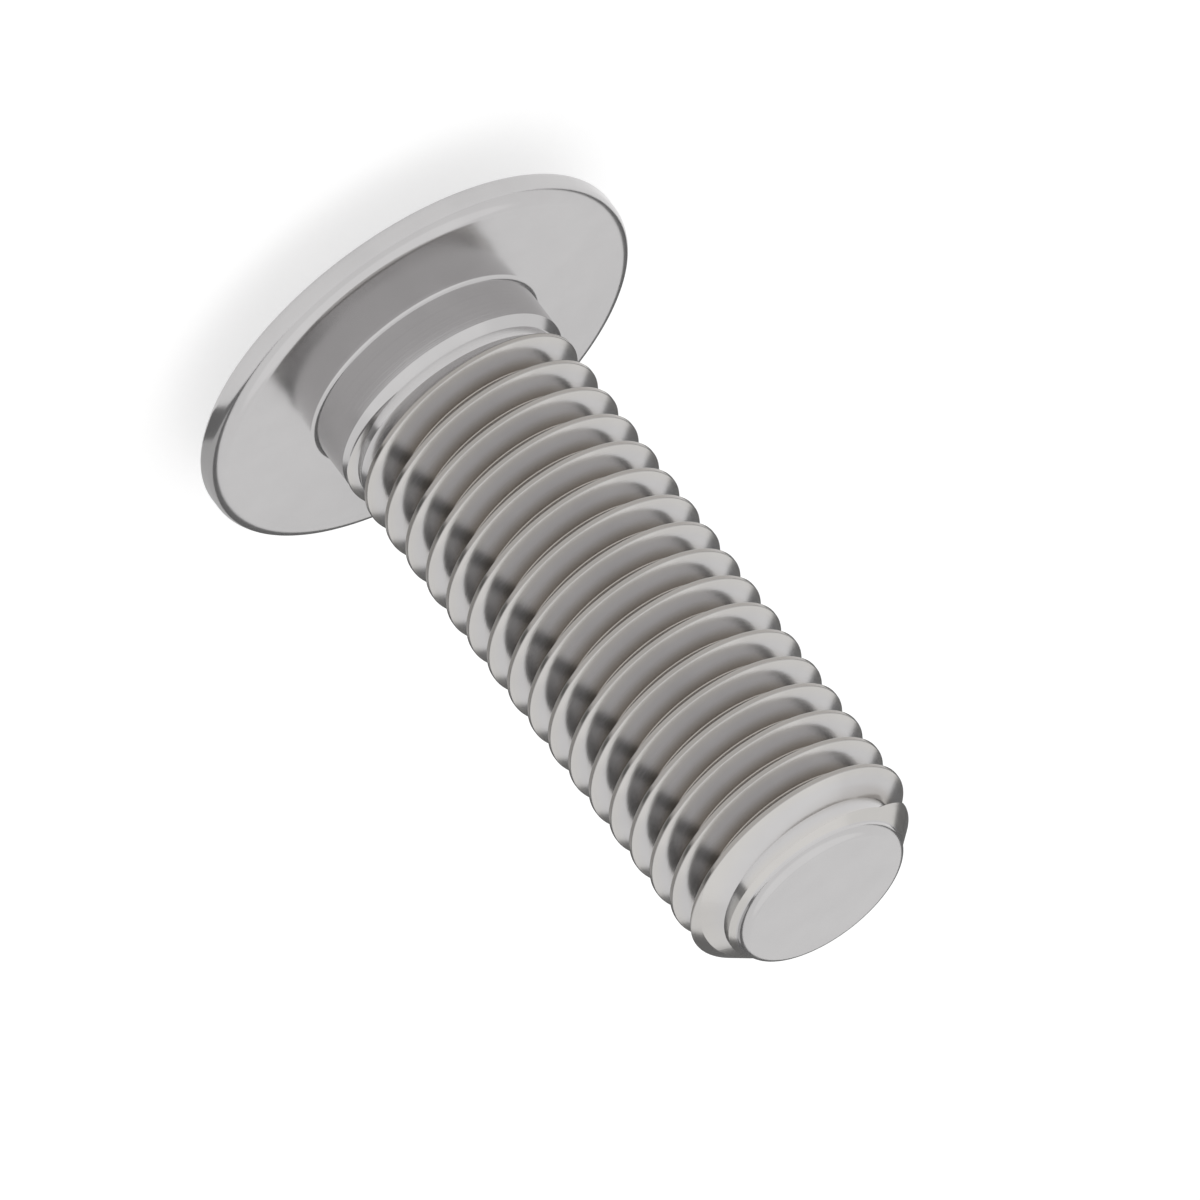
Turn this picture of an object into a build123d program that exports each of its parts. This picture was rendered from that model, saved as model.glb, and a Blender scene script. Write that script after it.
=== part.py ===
from build123d import *

import math
import os

# Socket head flange screw: one turned and threaded piece of bright steel. It stands on its
# head: the origin is the centre of the head's flat top, and +Z runs along the axis to the
# point. Lengths are in millimetres and angles in degrees.

# Thread: a right-handed vee groove that leaves a flat crest and has a flat root. The root of
# its last turn is wider, from last_turn_angle on, counted from +X.
major_diameter = 6.35
pitch = 0.907
vee_angle = 60
crest_width = 0.113
root_width = 0.28
last_turn_widening = 0.35
last_turn_angle = 195
# On the -Y side, the middle of the last whole crest lies this far below the point.
last_crest_below_point = 1.22

# Shank, measured from the bearing face of the flange. The point ends in a short cylinder.
shank_length = 17.84
neck_diameter = 6.3
neck_length = 1.44
neck_root_chamfer = 0.1
neck_end_chamfer = 0.22
relief_length = 0.28
point_diameter = 4.72
point_length = 0.25
point_half_angle = 45
point_edge_chamfer = 0.18

# Head: a thin round flange with a low dome on it, flat on top.
head_height = 2.23
flange_diameter = 12.0
flange_thickness = 0.83
flange_bearing_radius = 0.37
flange_top_chamfer = 0.16
dome_diameter = 9.1
land_diameter = 5.7

# Hexagon socket, with a drilled bottom and a countersunk mouth.
socket_width = 3.97
socket_depth = 1.4
socket_drill_angle = 120
socket_mouth_diameter = 4.85
socket_mouth_angle = 120

# The groove cutter stands this far outside the crests.
cutter_overlap = 0.045

flank_slope = math.tan(math.radians(vee_angle / 2))
thread_depth = (pitch - crest_width - root_width) / (2 * flank_slope)
major_radius = major_diameter / 2
root_radius = major_radius - thread_depth
neck_end_z = head_height + neck_length
relief_end_z = neck_end_z + relief_length
point_z = head_height + shank_length


def corner_near(section, place):
    """The corner of a flat section that lies nearest to a place."""
    return section.vertices().sort_by_distance(place)[0]


def dome_radius(height):
    """Radius of a ball, centred on the axis, whose surface runs from the land up to this height."""
    land_radius = land_diameter / 2
    foot_radius = dome_diameter / 2
    centre_z = (foot_radius**2 - land_radius**2 + height**2) / (2 * height)
    return math.hypot(land_radius, centre_z)


def head_and_neck():
    """The domed flange, the plain neck with its chamfered end, and the relief under the thread."""
    flange_radius = flange_diameter / 2
    neck_radius = neck_diameter / 2
    relief_radius = neck_radius - neck_end_chamfer
    flange_top_z = head_height - flange_thickness
    land_edge = (land_diameter / 2, 0)
    dome_foot = (dome_diameter / 2, flange_top_z)
    flange_top_edge = (flange_radius, flange_top_z)
    bearing_edge = (flange_radius, head_height)
    neck_root = (neck_radius, head_height)
    dome = RadiusArc(land_edge, dome_foot, -dome_radius(flange_top_z))
    flats = Polyline(
        dome_foot,
        flange_top_edge,
        bearing_edge,
        neck_root,
        (neck_radius, neck_end_z - neck_end_chamfer),
        (relief_radius, neck_end_z),
        (relief_radius, relief_end_z),
        (0, relief_end_z),
        (0, 0),
        land_edge,
    )
    section = make_face(dome + flats)
    section = fillet(corner_near(section, bearing_edge), flange_bearing_radius)
    section = chamfer(corner_near(section, flange_top_edge), flange_top_chamfer)
    section = chamfer(corner_near(section, neck_root), neck_root_chamfer)
    return revolve(Plane.XZ * section, Axis.Z)


def rod():
    """The rod that takes the thread, at full diameter up to the cone below its short point."""
    point_radius = point_diameter / 2
    cone_length = (major_radius - point_radius) / math.tan(math.radians(point_half_angle))
    cone_end_z = point_z - point_length
    point_edge = (point_radius, point_z)
    outline = Polyline(
        (0, neck_end_z),
        (major_radius, neck_end_z),
        (major_radius, cone_end_z - cone_length),
        (point_radius, cone_end_z),
        point_edge,
        (0, point_z),
        close=True,
    )
    section = make_face(outline)
    section = chamfer(corner_near(section, point_edge), point_edge_chamfer)
    return revolve(Plane.XZ * section, Axis.Z)


def groove_turn(root):
    """One turn of a helical vee groove with a flat root of this width, from Z = 0 at +X."""
    outer_radius = major_radius + cutter_overlap
    mouth = root + 2 * (thread_depth + cutter_overlap) * flank_slope
    section = make_face(
        Polyline(
            (root_radius, -root / 2),
            (outer_radius, -mouth / 2),
            (outer_radius, mouth / 2),
            (root_radius, root / 2),
            close=True,
        )
    )
    return sweep(Plane.XZ * section, path=Helix(pitch, pitch, root_radius), is_frenet=True)


def groove_turns():
    """The whole groove in one-turn lengths, end to end from the neck to past the point."""
    last_groove_z = point_z - last_crest_below_point + pitch / 2
    last_start_z = last_groove_z - (270 - last_turn_angle) / 360 * pitch
    count = math.ceil((last_start_z - neck_end_z) / pitch) + 1
    turn = Rot(0, 0, last_turn_angle) * groove_turn(root_width)
    last_turn = Rot(0, 0, last_turn_angle) * groove_turn(root_width + last_turn_widening)
    turns = [Pos(0, 0, last_start_z - step * pitch) * turn for step in range(1, count + 1)]
    return turns + [Pos(0, 0, last_start_z + last_turn_widening / 2) * last_turn]


def socket():
    """The hexagon key's socket, cut upwards from the land at Z = 0."""
    drill_radius = socket_width / 2
    drill_height = drill_radius / math.tan(math.radians(socket_drill_angle / 2))
    mouth_radius = socket_mouth_diameter / 2
    mouth_height = mouth_radius / math.tan(math.radians(socket_mouth_angle / 2))
    on_base = (Align.CENTER, Align.CENTER, Align.MIN)
    hexagon = extrude(RegularPolygon(drill_radius, 6, major_radius=False), socket_depth)
    drill_point = Pos(0, 0, socket_depth) * Cone(drill_radius, 0, drill_height, align=on_base)
    mouth = Cone(mouth_radius, 0, mouth_height, align=on_base)
    return hexagon + drill_point + mouth


threaded_rod = rod() - groove_turns()
flange_screw = head_and_neck() + threaded_rod - socket()

os.makedirs("parts", exist_ok=True)
export_step(flange_screw, "parts/flange_screw.step")
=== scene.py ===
"""Looks for the socket head flange screw: bright machined steel on a white floor."""

import math

import bmesh
import bpy
from mathutils import Matrix, Vector

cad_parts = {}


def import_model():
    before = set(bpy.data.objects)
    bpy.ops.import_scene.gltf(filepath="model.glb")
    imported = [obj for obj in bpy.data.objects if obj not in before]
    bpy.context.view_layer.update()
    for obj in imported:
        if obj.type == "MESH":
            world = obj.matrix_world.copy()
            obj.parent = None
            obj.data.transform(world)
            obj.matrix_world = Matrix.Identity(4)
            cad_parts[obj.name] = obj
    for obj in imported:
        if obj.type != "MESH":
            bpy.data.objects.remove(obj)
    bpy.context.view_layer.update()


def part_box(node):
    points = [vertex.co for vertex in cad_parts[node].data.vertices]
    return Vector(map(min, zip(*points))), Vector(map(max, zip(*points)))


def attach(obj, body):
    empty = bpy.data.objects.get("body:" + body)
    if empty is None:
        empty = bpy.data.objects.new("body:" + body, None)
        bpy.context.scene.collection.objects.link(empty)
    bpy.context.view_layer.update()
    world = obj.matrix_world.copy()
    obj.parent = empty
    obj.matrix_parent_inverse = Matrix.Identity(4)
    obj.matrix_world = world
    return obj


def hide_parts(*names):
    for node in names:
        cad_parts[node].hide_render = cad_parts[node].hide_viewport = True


MM = 0.001
NODE = "flange_screw"

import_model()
_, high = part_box(NODE)
scene = bpy.context.scene

# Camera: it looks down on the standing screw and is rolled, so that the screw's point hangs to
# the lower right. Angles are in degrees.
CAMERA_ELEVATION = 26.17
CAMERA_ROLL = 142.9
CAMERA_DISTANCE = 0.3
CAMERA_CLIP = (0.001, 10)
VIEW_WIDTH = 28.95 * MM

# Light: a grey world and one wide lamp overhead. The floor is lifted to white where it is seen.
WORLD_GREY = 0.8
LAMP_PLACE = (0, -0.02, 0.16)
LAMP_AIM = (0, 0, 0.01)
LAMP_SIZE = 0.3
LAMP_POWER = 0.025
FLOOR_SIZE = 2
FLOOR_GAP = 0.01 * MM
FLOOR_GREY = 0.58
FLOOR_LIFT = 0.6

# Cards that the steel mirrors and the camera doesn't see: a round wall with a slanting edge
# behind the screw, and sectors lying on the floor, each from one angle to another in degrees
# (0 is +X) with its grey.
CARD_HEIGHT = 0.02 * MM
CARD_STEPS = 48
WALL_RADIUS = 150 * MM
WALL_ANGLES = (-60, 200)
WALL_RISE = 0.12
WALL_SLANT = (0.1, 0.22)
WALL_LEAST_RISE = 0.001
WALL_TONE = 0.28
FLAG_INNER_RADIUS = 6.6 * MM
FLOOR_FLAGS = {
    "flag_strip": (-25, -9, 0.28),
    "flag_side": (-9, 50, 0.75),
    "flag_behind": (50, 125, 0.2),
}

# The steel: fine rings round the axis vary its roughness and bump, clouds vary its shade.
RING_SCALE = 30000
RING_DETAIL = 3
CLOUD_SCALE = 900
CLOUD_DETAIL = 4
CLOUD_SHADES = (0.95, 1.05)
ROUGHNESS = (0.12, 0.24)
BUMP_STRENGTH = 0.25
BUMP_DEPTH = 0.000002

# Painted shade and painted reflection in its colour over the depth in the thread, from the
# crest (0) to the root (1), which is TONED_DEPTH deep: the crests are painted dark as a dark
# reflection, and the root is painted darker as shade in the groove. The point's cone counts as
# CONE_DEPTH, and faces off the thread as PLAIN_DEPTH. The toning keeps these margins from the
# neck and from the point's edge.
PLAIN_DEPTH = 0.4
CONE_DEPTH = 0.05
TONED_DEPTH = 0.7 * MM
TONE_NECK_MARGIN = 0.01 * MM
TONE_POINT_MARGIN = 0.03 * MM
THREAD_PAINTED_SHADES = (
    (0.0, (0.34, 0.322, 0.304)),
    (0.012, (0.47, 0.46, 0.45)),
    (0.04, (0.545, 0.53, 0.513)),
    (PLAIN_DEPTH, (0.525, 0.516, 0.517)),
    (1.0, (0.36, 0.335, 0.31)),
)

# The screw, in millimetres. It stands on its head, and its axis is the Z axis.
HEIGHT = high.z / MM
FLANGE_RADIUS = high.x / MM
HEAD_HEIGHT = 2.23
FLANGE_THICKNESS = 0.83
BEARING_EDGE_RADIUS = 0.37
TOP_EDGE_RADIUS = 0.2
DOME_RADIUS = 4.55
LAND_RADIUS = 2.85
NECK_RADIUS = 3.15
NECK_END = HEAD_HEIGHT + 1.44
NECK_ROOT_RADIUS = 0.12
NECK_END_CHAMFER = 0.22
RELIEF_END = NECK_END + 0.28
RELIEF_EDGE_RADIUS = 0.04
NECK_CORE_INSET = 0.4
NECK_CORE_LENGTH = 0.35
MAJOR_RADIUS = 3.175
PITCH = 0.907
CREST_WIDTH = 0.113
ROOT_WIDTH = 0.03
CREST_EDGE_RADIUS = 0.04
FLANK_ANGLE = 30
FLANK_SLOPE = math.tan(math.radians(FLANK_ANGLE))
LAST_CREST_BELOW_POINT = 1.22
LAST_CREST_ANGLE = 270
LAST_TURN_WIDENING = 0.345
LAST_TURN_ANGLE = 180
WIDENING_TURNS = 0.07
GROOVE_SEGMENTS = 144
GROOVE_OVERLAP = 0.05
POINT_RADIUS = 2.36
POINT_EDGE_RADIUS = 0.25
SOCKET_WIDTH = 3.97
SOCKET_DEPTH = 1.4
SOCKET_MOUTH_RADIUS = 2.425
SOCKET_SEGMENTS = 96
DRILL_CLEARANCE = 0.02
DRILL_START = 0.5
HEXAGON_OVERLAP = 1
MOUTH_OVERLAP = 0.1
SEGMENTS = 256
SMOOTH_ANGLE = 12.5
LEAST_EDGE = 1e-5


def arc(centre, radius, start, end, steps):
    """Points of a circle's arc in the (radius, height) plane, angles in degrees."""
    points = []
    for step in range(steps + 1):
        angle = math.radians(start + (end - start) * step / steps)
        points.append((centre[0] + radius * math.cos(angle), centre[1] + radius * math.sin(angle)))
    return points


def head_outline():
    """Outline of the head, neck and relief, up to a core that ends inside the rod."""
    flange_top = HEAD_HEIGHT - FLANGE_THICKNESS
    ball_z = (DOME_RADIUS**2 - LAND_RADIUS**2 + flange_top**2) / (2 * flange_top)
    ball_radius = math.hypot(LAND_RADIUS, ball_z)
    land_angle = math.degrees(math.atan2(-ball_z, LAND_RADIUS))
    foot_angle = math.degrees(math.atan2(flange_top - ball_z, DOME_RADIUS))
    edge, top_edge, root = BEARING_EDGE_RADIUS, TOP_EDGE_RADIUS, NECK_ROOT_RADIUS
    points = [(0, 0)]
    points += arc((0, ball_z), ball_radius, land_angle, foot_angle, 16)
    points += arc((FLANGE_RADIUS - top_edge, flange_top + top_edge), top_edge, -90, 0, 8)
    points += arc((FLANGE_RADIUS - edge, HEAD_HEIGHT - edge), edge, 0, 90, 12)
    points += arc((NECK_RADIUS + root, HEAD_HEIGHT + root), root, 270, 180, 8)
    relief_radius = NECK_RADIUS - NECK_END_CHAMFER
    points += [(NECK_RADIUS, NECK_END - NECK_END_CHAMFER), (relief_radius, NECK_END)]
    relief_edge = RELIEF_EDGE_RADIUS
    points += arc((relief_radius - relief_edge, RELIEF_END - relief_edge), relief_edge, 0, 45, 5)
    core_end = RELIEF_END + NECK_CORE_LENGTH
    return points + [(relief_radius - NECK_CORE_INSET, core_end), (0, core_end)]


def rod_outline():
    """Outline of the rod that takes the thread, up to its coned point."""
    point_edge_z = HEIGHT - POINT_EDGE_RADIUS
    cone_z = point_edge_z - (MAJOR_RADIUS - POINT_RADIUS)
    points = [(0, NECK_END), (MAJOR_RADIUS, NECK_END), (MAJOR_RADIUS, cone_z)]
    points += arc((POINT_RADIUS - POINT_EDGE_RADIUS, point_edge_z), POINT_EDGE_RADIUS, 0, 90, 10)
    return points + [(0, HEIGHT)]


def mesh_object(name, vertices, faces):
    mesh = bpy.data.meshes.new(name)
    mesh.from_pydata(vertices, [], faces)
    obj = bpy.data.objects.new(name, mesh)
    scene.collection.objects.link(obj)
    return obj


def revolved(name, points, segments):
    """A closed body turned from an outline that starts and ends on the axis."""
    rings = points[1:-1]
    vertices = [(0, 0, points[0][1]), (0, 0, points[-1][1])]
    for radius, z in rings:
        for step in range(segments):
            angle = 2 * math.pi * step / segments
            vertices.append((radius * math.cos(angle), radius * math.sin(angle), z))

    def at(ring, step):
        return 2 + ring * segments + step % segments

    faces = []
    for step in range(segments):
        faces.append((0, at(0, step + 1), at(0, step)))
        faces.append((1, at(len(rings) - 1, step), at(len(rings) - 1, step + 1)))
        for ring in range(len(rings) - 1):
            faces.append(
                (at(ring, step), at(ring, step + 1), at(ring + 1, step + 1), at(ring + 1, step))
            )
    return mesh_object(name, vertices, faces)


def groove_side(half_root):
    """One side of the groove's section, from its root to outside the rounded crest edge."""
    inner = MAJOR_RADIUS - (PITCH - CREST_WIDTH - ROOT_WIDTH) / (2 * FLANK_SLOPE)
    half_mouth = half_root + (MAJOR_RADIUS - inner) * FLANK_SLOPE
    round_z = half_mouth + CREST_EDGE_RADIUS * FLANK_SLOPE
    centre = (MAJOR_RADIUS - CREST_EDGE_RADIUS, round_z)
    rounded = arc(centre, CREST_EDGE_RADIUS, FLANK_ANGLE - 90, 0, 6)
    return [(inner, half_root)] + rounded + [(MAJOR_RADIUS + GROOVE_OVERLAP, round_z)]


def groove(name, start_z, start_angle, turns, widening=0):
    """A closed helical vee cutter that starts at this height and angle and runs up.

    Its upper flank moves up by the widening within the first WIDENING_TURNS of a turn."""
    count = round(turns * GROOVE_SEGMENTS)
    side = groove_side(ROOT_WIDTH / 2)
    corners = 2 * len(side)
    vertices = []
    for step in range(count + 1):
        turned = turns * step / count
        angle = math.radians(start_angle) + 2 * math.pi * turned
        wider = widening * min(1, turned / WIDENING_TURNS)
        section = [(radius, -z) for radius, z in side]
        section += [(radius, z + wider) for radius, z in reversed(side)]
        for radius, z in section:
            vertices.append(
                (radius * math.cos(angle), radius * math.sin(angle), start_z + turned * PITCH + z)
            )
    faces = [tuple(range(corners)), tuple(corners * count + n for n in reversed(range(corners)))]
    for step in range(count):
        for corner in range(corners):
            here, there = corners * step + corner, corners * step + (corner + 1) % corners
            faces.append((here, here + corners, there + corners, there))
    return mesh_object(name, vertices, faces)


def prism(name, width, z_low, z_high):
    """A hexagonal prism round the Z axis, this wide across flats."""
    corner = width / math.sqrt(3)
    vertices = []
    for z in (z_low, z_high):
        for step in range(6):
            angle = math.radians(60 * step)
            vertices.append((corner * math.cos(angle), corner * math.sin(angle), z))
    faces = [(5, 4, 3, 2, 1, 0), (6, 7, 8, 9, 10, 11)]
    faces += [(step, (step + 1) % 6, (step + 1) % 6 + 6, step + 6) for step in range(6)]
    return mesh_object(name, vertices, faces)


def apply(body, modifier):
    with bpy.context.temp_override(object=body, active_object=body):
        bpy.ops.object.modifier_apply(modifier=modifier.name)


def combine(body, other, operation):
    modifier = body.modifiers.new("combine", "BOOLEAN")
    modifier.operation = operation
    modifier.solver = "MANIFOLD"
    modifier.object = other
    apply(body, modifier)
    bpy.data.objects.remove(other)


def screw():
    """The whole screw with its thread at full depth."""
    body = revolved("screw", rod_outline(), SEGMENTS)
    last_groove_z = HEIGHT - LAST_CREST_BELOW_POINT + PITCH / 2
    last_start_z = last_groove_z - (LAST_CREST_ANGLE - LAST_TURN_ANGLE) / 360 * PITCH
    turns = math.ceil((last_start_z - NECK_END) / PITCH) + 1
    first_z = last_start_z - turns * PITCH
    combine(body, groove("groove", first_z, LAST_TURN_ANGLE, turns + 1), "DIFFERENCE")
    last = groove("last", last_start_z, LAST_TURN_ANGLE, 1, LAST_TURN_WIDENING)
    combine(body, last, "DIFFERENCE")
    combine(body, revolved("head", head_outline(), SEGMENTS), "UNION")
    mouth = SOCKET_MOUTH_RADIUS
    drill = SOCKET_WIDTH / 2 - DRILL_CLEARANCE
    drill_end = SOCKET_DEPTH + drill / math.sqrt(3)
    mouth_edge = (mouth + MOUTH_OVERLAP * math.sqrt(3), -MOUTH_OVERLAP)
    mouth_cone = [(0, -MOUTH_OVERLAP), mouth_edge, (0, mouth / math.sqrt(3))]
    drilled = [(0, DRILL_START), (drill, DRILL_START), (drill, SOCKET_DEPTH), (0, drill_end)]
    hexagon = prism("hexagon", SOCKET_WIDTH, -HEXAGON_OVERLAP, SOCKET_DEPTH)
    combine(body, hexagon, "DIFFERENCE")
    combine(body, revolved("mouth", mouth_cone, SOCKET_SEGMENTS), "DIFFERENCE")
    combine(body, revolved("drilled", drilled, SOCKET_SEGMENTS), "DIFFERENCE")
    finish_mesh(body.data)
    modifier = body.modifiers.new("normals", "WEIGHTED_NORMAL")
    modifier.keep_sharp = True
    apply(body, modifier)
    return body


def finish_mesh(mesh):
    """Scale from millimetres, and shade smooth except over sharp edges."""
    work = bmesh.new()
    work.from_mesh(mesh)
    bmesh.ops.dissolve_degenerate(work, dist=LEAST_EDGE, edges=work.edges)
    for edge in work.edges:
        edge.smooth = edge.is_manifold and edge.calc_face_angle(0) < math.radians(SMOOTH_ANGLE)
    for face in work.faces:
        face.smooth = True
    bmesh.ops.scale(work, vec=(MM, MM, MM), verts=work.verts)
    work.to_mesh(mesh)
    work.free()


def node_tree(owner):
    owner.use_nodes = True
    owner.node_tree.nodes.clear()
    return owner.node_tree


def maths(tree, operation, first, second):
    """A math node; each value is a socket or a number."""
    node = tree.nodes.new("ShaderNodeMath")
    node.operation = operation
    for index, value in enumerate((first, second)):
        if isinstance(value, (int, float)):
            node.inputs[index].default_value = value
        else:
            tree.links.new(value, node.inputs[index])
    return node.outputs[0]


def painted_shade_depth(tree, radius, z):
    """Where the thread's painted shade falls: 0 on the thread's crests up to 1 at its root, and
    PLAIN_DEPTH off the thread.
    """
    cone_radius = maths(tree, "SUBTRACT", (HEIGHT - POINT_EDGE_RADIUS + POINT_RADIUS) * MM, z)
    in_cone = maths(tree, "DIVIDE", maths(tree, "SUBTRACT", cone_radius, radius), TONED_DEPTH)
    from_crest = maths(tree, "SUBTRACT", MAJOR_RADIUS * MM, radius)
    in_crest = maths(tree, "DIVIDE", from_crest, TONED_DEPTH)
    bright = maths(tree, "MINIMUM", in_crest, CONE_DEPTH)
    share = maths(tree, "MAXIMUM", maths(tree, "MINIMUM", in_cone, in_crest), bright)
    on_rod = maths(tree, "GREATER_THAN", z, NECK_END * MM + TONE_NECK_MARGIN)
    point_edge = (HEIGHT - POINT_EDGE_RADIUS) * MM
    below_point = maths(tree, "LESS_THAN", z, point_edge - TONE_POINT_MARGIN)
    on_thread = maths(tree, "MULTIPLY", on_rod, below_point)
    offset = maths(tree, "SUBTRACT", share, PLAIN_DEPTH)
    return maths(tree, "ADD", maths(tree, "MULTIPLY", offset, on_thread), PLAIN_DEPTH)


def steel():
    """Bright turned steel: fine rings round the axis, a slight cloudiness, and painted shade and a
    painted dark reflection over the thread's depth.
    """
    material = bpy.data.materials.new("bright_steel")
    tree = node_tree(material)
    new, link = tree.nodes.new, tree.links.new
    out = new("ShaderNodeOutputMaterial")
    shader = new("ShaderNodeBsdfPrincipled")
    place = new("ShaderNodeTexCoord")
    split = new("ShaderNodeSeparateXYZ")
    flat = new("ShaderNodeCombineXYZ")
    reach = new("ShaderNodeVectorMath")
    reach.operation = "LENGTH"
    rings = new("ShaderNodeCombineXYZ")
    link(place.outputs["Object"], split.inputs[0])
    link(split.outputs[0], flat.inputs[0])
    link(split.outputs[1], flat.inputs[1])
    link(flat.outputs[0], reach.inputs[0])
    link(reach.outputs["Value"], rings.inputs[0])
    link(split.outputs[2], rings.inputs[1])
    turned = new("ShaderNodeTexNoise")
    turned.inputs["Scale"].default_value = RING_SCALE
    turned.inputs["Detail"].default_value = RING_DETAIL
    link(rings.outputs[0], turned.inputs["Vector"])
    cloudy = new("ShaderNodeTexNoise")
    cloudy.inputs["Scale"].default_value = CLOUD_SCALE
    cloudy.inputs["Detail"].default_value = CLOUD_DETAIL
    link(place.outputs["Object"], cloudy.inputs["Vector"])
    shade = new("ShaderNodeMapRange")
    shade.inputs["To Min"].default_value, shade.inputs["To Max"].default_value = CLOUD_SHADES
    link(cloudy.outputs["Fac"], shade.inputs["Value"])
    colour = new("ShaderNodeVectorMath")
    colour.operation = "SCALE"
    depth = painted_shade_depth(tree, reach.outputs["Value"], split.outputs[2])
    # Painted shade: dark crests stand in for a dark reflection, and darker roots for shade in the
    # groove.
    link(ramp(tree, depth, THREAD_PAINTED_SHADES), colour.inputs[0])
    link(shade.outputs["Result"], colour.inputs["Scale"])
    link(colour.outputs[0], shader.inputs["Base Color"])
    rough = new("ShaderNodeMapRange")
    rough.inputs["To Min"].default_value, rough.inputs["To Max"].default_value = ROUGHNESS
    link(turned.outputs["Fac"], rough.inputs["Value"])
    link(rough.outputs["Result"], shader.inputs["Roughness"])
    bump = new("ShaderNodeBump")
    bump.inputs["Strength"].default_value = BUMP_STRENGTH
    bump.inputs["Distance"].default_value = BUMP_DEPTH
    link(turned.outputs["Fac"], bump.inputs["Height"])
    link(bump.outputs[0], shader.inputs["Normal"])
    shader.inputs["Metallic"].default_value = 1
    link(shader.outputs[0], out.inputs[0])
    return material


def shown_rays(tree):
    """The socket that is 1 for camera rays and for rays in metal or through glass."""
    rays = tree.nodes.new("ShaderNodeLightPath").outputs
    mirrored = maths(tree, "MAXIMUM", rays["Is Glossy Ray"], rays["Is Transmission Ray"])
    return maths(tree, "MAXIMUM", rays["Is Camera Ray"], mirrored)


def ramp(tree, socket, stops):
    """A colour ramp over this socket, from (place, colour) stops."""
    node = tree.nodes.new("ShaderNodeValToRGB")
    node.color_ramp.interpolation = "EASE"
    for index, (place, colour) in enumerate(stops):
        element = node.color_ramp.elements
        stop = element[index] if index < 2 else element.new(place)
        stop.position = place
        stop.color = (*colour, 1)
    tree.links.new(socket, node.inputs[0])
    return node.outputs[0]


def mixed(tree, factor, first, second):
    mix = tree.nodes.new("ShaderNodeMixShader")
    tree.links.new(factor, mix.inputs[0])
    tree.links.new(first, mix.inputs[1])
    tree.links.new(second, mix.inputs[2])
    return mix.outputs[0]


def world():
    """White to the camera and in the steel, and a light grey light on the rest."""
    scene.world = bpy.data.worlds.new("studio")
    tree = node_tree(scene.world)
    new, link = tree.nodes.new, tree.links.new
    out = new("ShaderNodeOutputWorld")
    seen, light = new("ShaderNodeBackground"), new("ShaderNodeBackground")
    seen.inputs["Color"].default_value = (1, 1, 1, 1)
    light.inputs["Color"].default_value = (WORLD_GREY, WORLD_GREY, WORLD_GREY, 1)
    link(mixed(tree, shown_rays(tree), light.outputs[0], seen.outputs[0]), out.inputs[0])


def floor():
    """A plain pale floor, white to the camera and in the steel, that keeps its shadows."""
    bpy.ops.mesh.primitive_plane_add(size=FLOOR_SIZE, location=(0, 0, -FLOOR_GAP))
    plane = bpy.context.object
    plane.name = "floor"
    material = bpy.data.materials.new("floor_white")
    tree = node_tree(material)
    new, link = tree.nodes.new, tree.links.new
    out, both = new("ShaderNodeOutputMaterial"), new("ShaderNodeAddShader")
    diffuse, lift = new("ShaderNodeBsdfDiffuse"), new("ShaderNodeEmission")
    diffuse.inputs["Color"].default_value = (FLOOR_GREY, FLOOR_GREY, FLOOR_GREY, 1)
    link(maths(tree, "MULTIPLY", shown_rays(tree), FLOOR_LIFT), lift.inputs["Strength"])
    link(diffuse.outputs[0], both.inputs[0])
    link(lift.outputs[0], both.inputs[1])
    link(both.outputs[0], out.inputs[0])
    plane.data.materials.append(material)


def flag(name, vertices, faces, tone):
    """A card of this grey, only for the steel: the camera doesn't see it or any shadow of it."""
    card = mesh_object(name, vertices, faces)
    material = bpy.data.materials.new(name + "_card")
    tree = node_tree(material)
    out = tree.nodes.new("ShaderNodeOutputMaterial")
    diffuse = tree.nodes.new("ShaderNodeBsdfDiffuse")
    diffuse.inputs["Color"].default_value = (tone, tone, tone, 1)
    tree.links.new(diffuse.outputs[0], out.inputs[0])
    card.data.materials.append(material)
    card.visible_camera = card.visible_diffuse = card.visible_shadow = False


def band(first, last, inner, outer):
    """A strip of faces round the axis between two angles; each edge gives its point there."""
    vertices = []
    for index in range(CARD_STEPS + 1):
        angle = math.radians(first + (last - first) * index / CARD_STEPS)
        vertices += [inner(angle), outer(angle)]
    faces = [(2 * i, 2 * i + 1, 2 * i + 3, 2 * i + 2) for i in range(CARD_STEPS)]
    return vertices, faces


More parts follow.
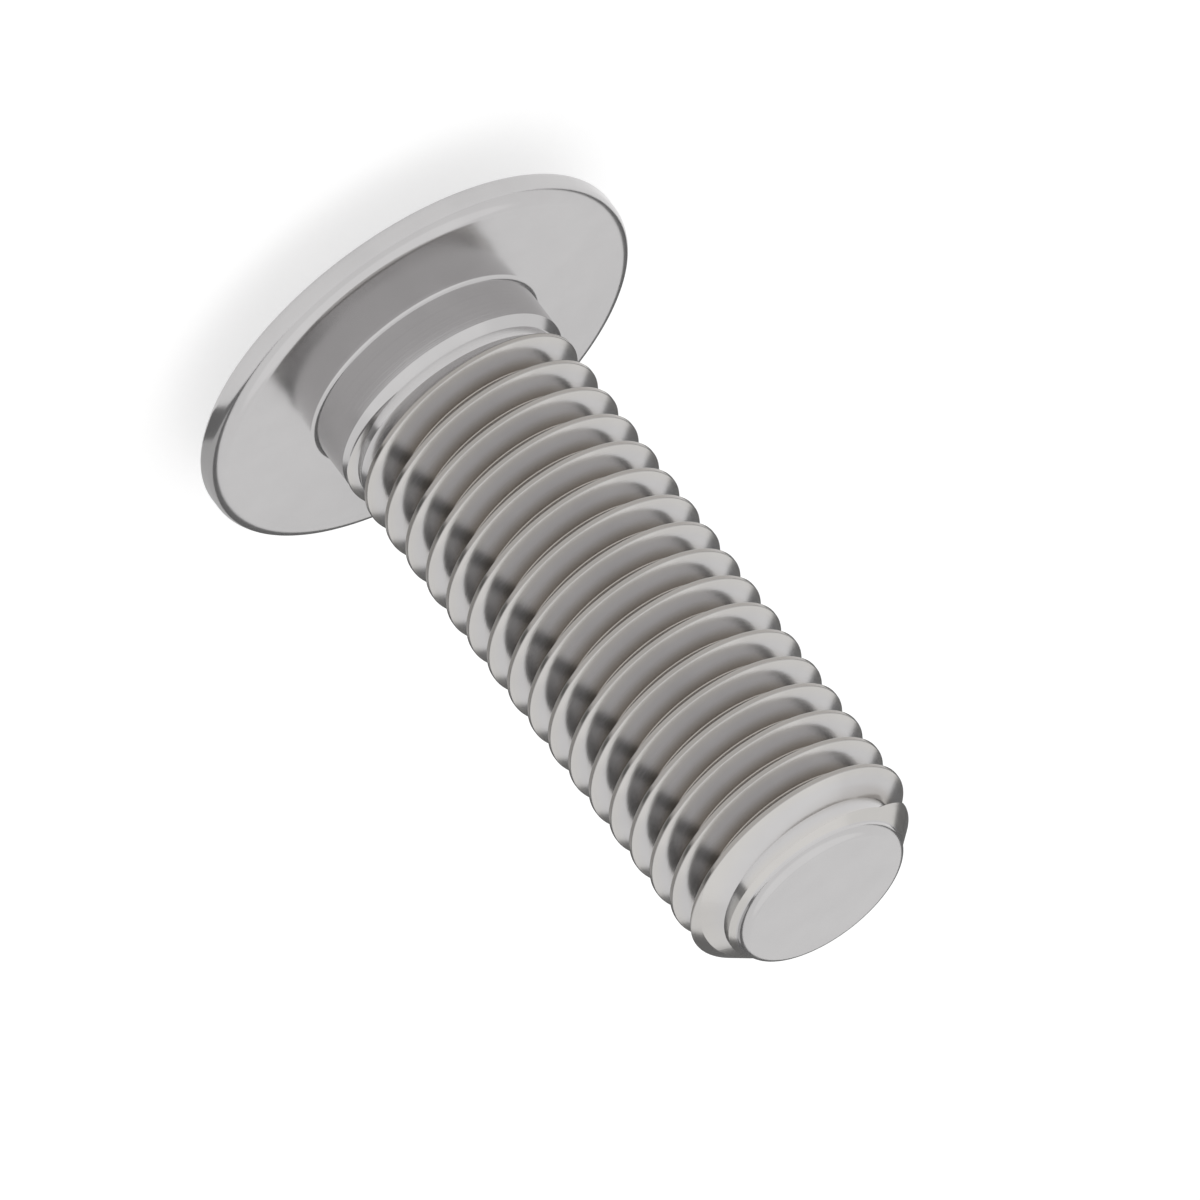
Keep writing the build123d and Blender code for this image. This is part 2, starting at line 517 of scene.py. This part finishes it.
def on_floor(radius):
    """An edge that runs round the axis at this radius, just over the floor."""
    return lambda angle: (radius * math.cos(angle), radius * math.sin(angle), CARD_HEIGHT)


def wall_top(angle):
    """The wall's edge slants: highest behind and to the camera's left of the screw."""
    rise = WALL_RISE + WALL_SLANT[0] * math.cos(angle) + WALL_SLANT[1] * math.sin(angle)
    x, y, _ = on_floor(WALL_RADIUS)(angle)
    return x, y, WALL_RADIUS * max(rise, WALL_LEAST_RISE)


def flags():
    """The wall behind the screw and the sectors on the floor."""
    inner, outer = on_floor(FLAG_INNER_RADIUS), on_floor(WALL_RADIUS)
    flag("flag_wall", *band(*WALL_ANGLES, outer, wall_top), WALL_TONE)
    for name, (first, last, tone) in FLOOR_FLAGS.items():
        flag(name, *band(first, last, inner, outer), tone)


def lamp(name, location, target, size, power):
    """A round lamp that faces this target."""
    data = bpy.data.lights.new(name, "AREA")
    data.shape = "DISK"
    data.size = size
    data.energy = power
    obj = bpy.data.objects.new(name, data)
    scene.collection.objects.link(obj)
    obj.location = location
    obj.rotation_mode = "QUATERNION"
    obj.rotation_quaternion = (Vector(target) - Vector(location)).to_track_quat("-Z", "Y")
    return obj


def camera():
    """A parallel view of the screw's middle, from the -Y side."""
    data = bpy.data.cameras.new("camera")
    obj = bpy.data.objects.new("camera", data)
    scene.collection.objects.link(obj)
    scene.camera = obj
    data.type = "ORTHO"
    data.ortho_scale = VIEW_WIDTH
    elevation = math.radians(CAMERA_ELEVATION)
    back = Vector((0, -math.cos(elevation), math.sin(elevation)))
    aim = Vector((0, 0, high.z / 2))
    turn = (-back).to_track_quat("-Z", "Y").to_matrix() @ Matrix.Rotation(
        math.radians(CAMERA_ROLL), 3, "Z"
    )
    obj.matrix_world = Matrix.Translation(aim + back * CAMERA_DISTANCE) @ turn.to_4x4()
    data.clip_start, data.clip_end = CAMERA_CLIP


scene.view_settings.view_transform = "Standard"
body = screw()
body.data.materials.clear()
body.data.materials.append(steel())
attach(body, "root")
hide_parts(NODE)
world()
floor()
flags()
lamp("overhead", LAMP_PLACE, LAMP_AIM, LAMP_SIZE, LAMP_POWER)
camera()
